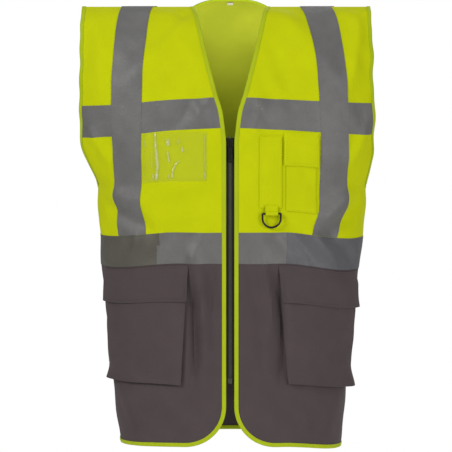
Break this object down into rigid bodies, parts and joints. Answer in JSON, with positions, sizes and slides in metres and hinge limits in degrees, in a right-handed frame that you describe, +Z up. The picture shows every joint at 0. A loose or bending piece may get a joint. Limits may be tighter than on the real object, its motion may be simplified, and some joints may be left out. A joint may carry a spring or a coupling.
{
  "type": "high visibility vest",
  "caption": "Sleeveless zip-front safety vest, yellow over grey, with reflective tape, flapped pockets, ID window and D-ring.",
  "frame": {"origin": "on the shoulder line, midway between the shoulder seams, where shoulders or a hanger hold the vest", "axes": "+Z up, -Y to the front, +X to the wearer's left"},
  "size_m": [0.4898, 0.2567, 0.7203],
  "materials": {
    "yellow_polyester": "woven, matt, fluorescent",
    "grey_polyester": "twill weave, matt",
    "reflective_tape": "retro-reflective, satin",
    "yellow_binding": "folded woven tape",
    "yellow_webbing": "woven webbing",
    "zip_tape": "knitted tape",
    "zip_acetal": "moulded",
    "slider_metal": "die-cast, black paint",
    "black_acetal": "moulded",
    "clear_film": "clear film",
    "satin_label": "woven satin",
    "grip_strip": "hook and loop"
  },
  "bodies": {
    "back": {"back_upper_panel": "yellow_polyester", "back_lower_panel": "grey_polyester", "back_waist_tape": "reflective_tape", "back_chest_tape": "reflective_tape", "back_brace_tape_right": "reflective_tape", "back_brace_tape_left": "reflective_tape", "back_armhole_binding_right": "yellow_binding", "back_armhole_binding_left": "yellow_binding", "back_hem_binding": "yellow_binding", "back_neck_binding": "yellow_binding", "neck_label": "satin_label"},
    "front_right": {"front_upper_panel_right": "yellow_polyester", "front_lower_panel_right": "grey_polyester", "front_binding_right": "yellow_binding", "front_armhole_binding_right": "yellow_binding", "waist_tape_right": "reflective_tape", "chest_tape_right": "reflective_tape", "front_brace_tape_right": "reflective_tape", "zip_tape_right": "zip_tape", "zip_teeth_right": "zip_acetal", "zip_top_stop_right": "zip_acetal", "lower_pocket_right": "grey_polyester", "lower_pocket_loop_strip_right": "grip_strip", "zip_pin": "zip_acetal", "id_window": "clear_film"},
    "front_left": {"front_upper_panel_left": "yellow_polyester", "front_lower_panel_left": "grey_polyester", "front_binding_left": "yellow_binding", "front_armhole_binding_left": "yellow_binding", "waist_tape_left": "reflective_tape", "chest_tape_left": "reflective_tape", "front_brace_tape_left": "reflective_tape", "zip_tape_left": "zip_tape", "zip_teeth_left": "zip_acetal", "zip_top_stop_left": "zip_acetal", "lower_pocket_left": "grey_polyester", "lower_pocket_loop_strip_left": "grip_strip", "zip_box": "zip_acetal", "phone_pocket": "yellow_polyester", "phone_pocket_loop_strip": "grip_strip", "pen_pocket": "yellow_polyester", "ring_tab": "yellow_webbing"},
    "pocket_flap_right": {"lower_flap_right": "grey_polyester", "lower_flap_hook_strip_right": "grip_strip"},
    "pocket_flap_left": {"lower_flap_left": "grey_polyester", "lower_flap_hook_strip_left": "grip_strip"},
    "phone_flap_body": {"phone_flap": "yellow_polyester", "phone_flap_hook_strip": "grip_strip"},
    "slider": {"zip_slider": "slider_metal"},
    "pull": {"zip_pull": "slider_metal"},
    "ring": {"d_ring": "black_acetal"}
  },
  "joints": [
    {"name": "front_right_swing", "type": "hinge", "parent": "back", "child": "front_right", "pos_m": [-0.2456, 0, 0], "axis": [0.089, 0, -0.996], "range_deg": [0, 40]},
    {"name": "front_left_swing", "type": "hinge", "parent": "back", "child": "front_left", "pos_m": [0.2456, 0, 0], "axis": [0.089, 0, 0.996], "range_deg": [0, 40]},
    {"name": "pocket_flap_right_lift", "type": "hinge", "parent": "front_right", "child": "pocket_flap_right", "pos_m": [-0.15679, -0.09138, -0.4111], "axis": [-0.8575, 0.5145, 0], "range_deg": [0, 115]},
    {"name": "pocket_flap_left_lift", "type": "hinge", "parent": "front_left", "child": "pocket_flap_left", "pos_m": [0.15679, -0.09138, -0.4111], "axis": [-0.8575, -0.5145, 0], "range_deg": [0, 115]},
    {"name": "phone_flap_lift", "type": "hinge", "parent": "front_left", "child": "phone_flap_body", "pos_m": [0.11572, -0.11503, -0.1962], "axis": [-0.9854, -0.1701, 0], "range_deg": [0, 115]},
    {"name": "zip_slide", "type": "slide", "parent": "front_left", "child": "slider", "axis": [0, 0, 1], "range_m": [-0.372, 0], "deforming": ["zip_teeth_left", "zip_teeth_right"]},
    {"name": "pull_tip", "type": "hinge", "parent": "slider", "child": "pull", "pos_m": [0, -0.121, -0.20932], "axis": [-1, 0, 0], "range_deg": [0, 170]},
    {"name": "ring_swing", "type": "hinge", "parent": "front_left", "child": "ring", "pos_m": [0.06658, -0.12254, -0.32665], "axis": [-0.9927, -0.1204, 0], "range_deg": [-5, 130]}
  ]
}
